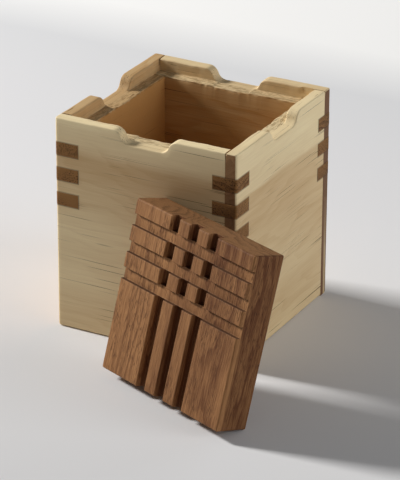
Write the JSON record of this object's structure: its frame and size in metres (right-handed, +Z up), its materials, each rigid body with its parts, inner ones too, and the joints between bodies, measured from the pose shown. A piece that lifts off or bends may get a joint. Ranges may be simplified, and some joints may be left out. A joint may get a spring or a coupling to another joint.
{
  "type": "keepsake box with loose lid",
  "caption": "Small square pine box with dark corner keys, a finger scoop in each rim and a thick loose grooved lid that drops into a seat inside the rim.",
  "frame": {"origin": "middle of the box's underside, on the surface that it stands on", "axes": "+Z up, -Y out of the front wall, +X out of the right wall; at rest the lid stands in front of the front wall"},
  "size_m": [0.144, 0.1717, 0.1143],
  "materials": {
    "pine": "satin",
    "dark_key_wood": "satin",
    "brown_lid_wood": "satin"
  },
  "bodies": {
    "box": {"front_wall": "pine", "right_wall": "pine", "back_wall": "pine", "left_wall": "pine", "floor_panel": "pine", "key_front_left_upper": "dark_key_wood", "key_front_left_middle": "dark_key_wood", "key_front_left_lower": "dark_key_wood", "key_front_right_upper": "dark_key_wood", "key_front_right_middle": "dark_key_wood", "key_front_right_lower": "dark_key_wood", "key_back_right_upper": "dark_key_wood", "key_back_right_middle": "dark_key_wood", "key_back_right_lower": "dark_key_wood", "key_back_left_upper": "dark_key_wood", "key_back_left_middle": "dark_key_wood", "key_back_left_lower": "dark_key_wood"},
    "lid": {"lid": "brown_lid_wood"}
  },
  "joints": [
    {"name": "lid_lift", "type": "slide", "parent": "box", "child": "lid", "axis": [0, 0, 1], "range_m": [0, 0.12]}
  ]
}
